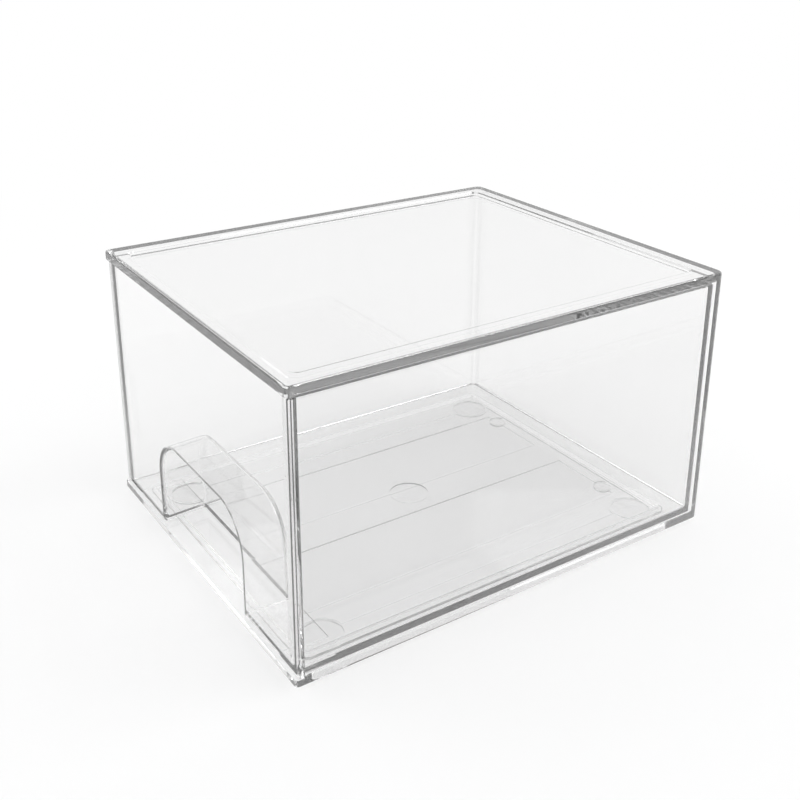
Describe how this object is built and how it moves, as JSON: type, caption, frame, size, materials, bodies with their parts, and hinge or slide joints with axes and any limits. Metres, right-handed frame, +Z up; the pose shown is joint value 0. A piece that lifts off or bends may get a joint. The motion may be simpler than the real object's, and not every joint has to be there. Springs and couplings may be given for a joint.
{
  "type": "stackable drawer box",
  "caption": "Clear stackable storage box: an open-fronted case with a raised top rim holds a pull-out drawer with an arched finger recess.",
  "frame": {"origin": "middle of the outline, on the surface that the pads stand on", "axes": "+X to the right seen from the front, +Y from the drawer front to the back, +Z up; the drawer pulls out along -Y"},
  "size_m": [0.155, 0.19, 0.11],
  "materials": {
    "clear_case": "polished clear moulding",
    "clear_drawer": "polished clear moulding",
    "clear_pad": "soft clear anti-slip pad"
  },
  "bodies": {
    "case": {"case": "clear_case", "pad_front_left": "clear_pad", "pad_front_right": "clear_pad", "pad_back_left": "clear_pad", "pad_back_right": "clear_pad"},
    "drawer": {"drawer": "clear_drawer"}
  },
  "joints": [
    {"name": "drawer_slide", "type": "slide", "parent": "case", "child": "drawer", "axis": [0, -1, 0], "range_m": [0, 0.15]}
  ]
}
